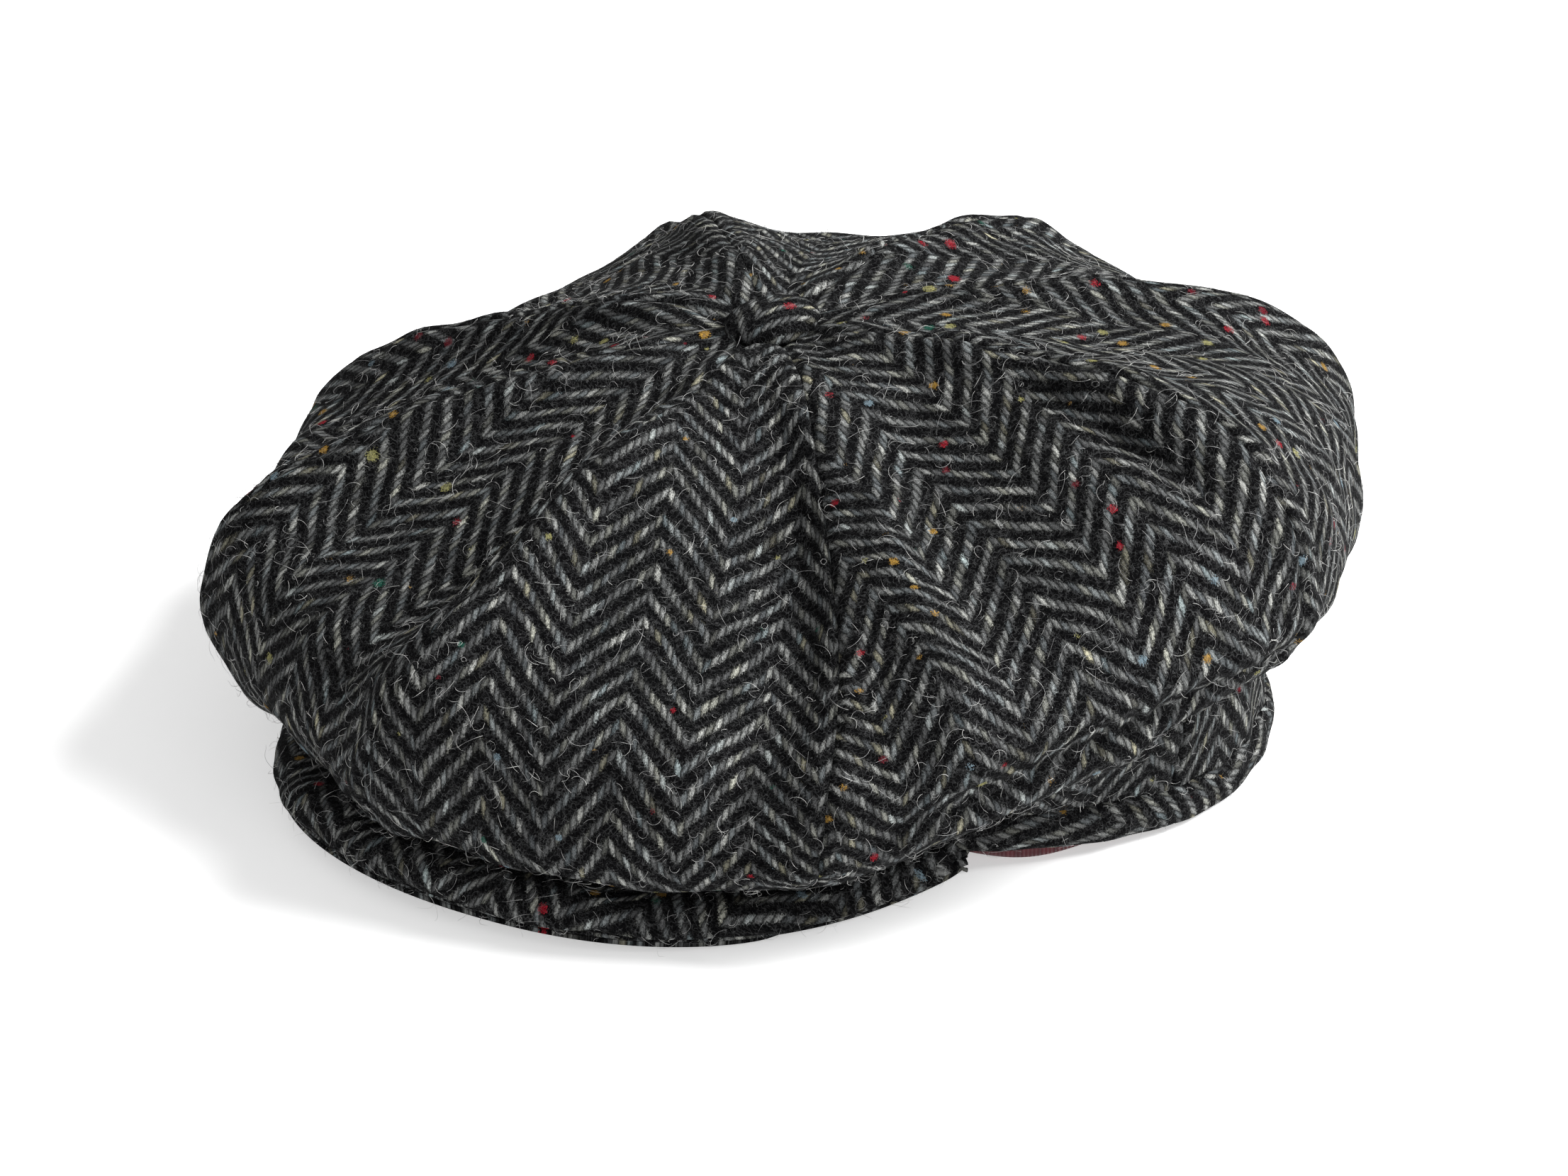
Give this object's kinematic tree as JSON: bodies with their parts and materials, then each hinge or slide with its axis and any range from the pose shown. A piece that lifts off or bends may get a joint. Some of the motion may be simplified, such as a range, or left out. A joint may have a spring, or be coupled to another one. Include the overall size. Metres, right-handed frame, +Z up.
{
  "type": "newsboy cap",
  "caption": "Soft newsboy cap in charcoal herringbone tweed with a gored crown, covered button and short stiff peak.",
  "frame": {"origin": "centre of the cap's bounding box at table level", "axes": "-Y is the front of the cap, +X the wearer's left, +Z up; the head opening lies on the table"},
  "size_m": [0.2588, 0.2532, 0.1032],
  "materials": {
    "charcoal_tweed": "brushed wool, herringbone weave",
    "burgundy_satin": "satin",
    "burgundy_ribbon": "matt ribbon",
    "peak_fibreboard": "matt",
    "button_steel": "pressed",
    "button_thread": "waxed thread"
  },
  "bodies": {
    "root": {"crown_panel_1": "charcoal_tweed", "crown_panel_2": "charcoal_tweed", "crown_panel_3": "charcoal_tweed", "crown_panel_4": "charcoal_tweed", "crown_panel_5": "charcoal_tweed", "crown_panel_6": "charcoal_tweed", "crown_panel_7": "charcoal_tweed", "crown_panel_8": "charcoal_tweed", "lining_gore_1": "burgundy_satin", "lining_gore_2": "burgundy_satin", "lining_gore_3": "burgundy_satin", "lining_gore_4": "burgundy_satin", "outer_band": "charcoal_tweed", "sweatband": "burgundy_ribbon", "peak_upper_cover": "charcoal_tweed", "peak_board": "peak_fibreboard", "peak_under_cover": "charcoal_tweed", "button_cover": "charcoal_tweed", "button_shell": "button_steel", "button_thread": "button_thread"}
  },
  "joints": []
}
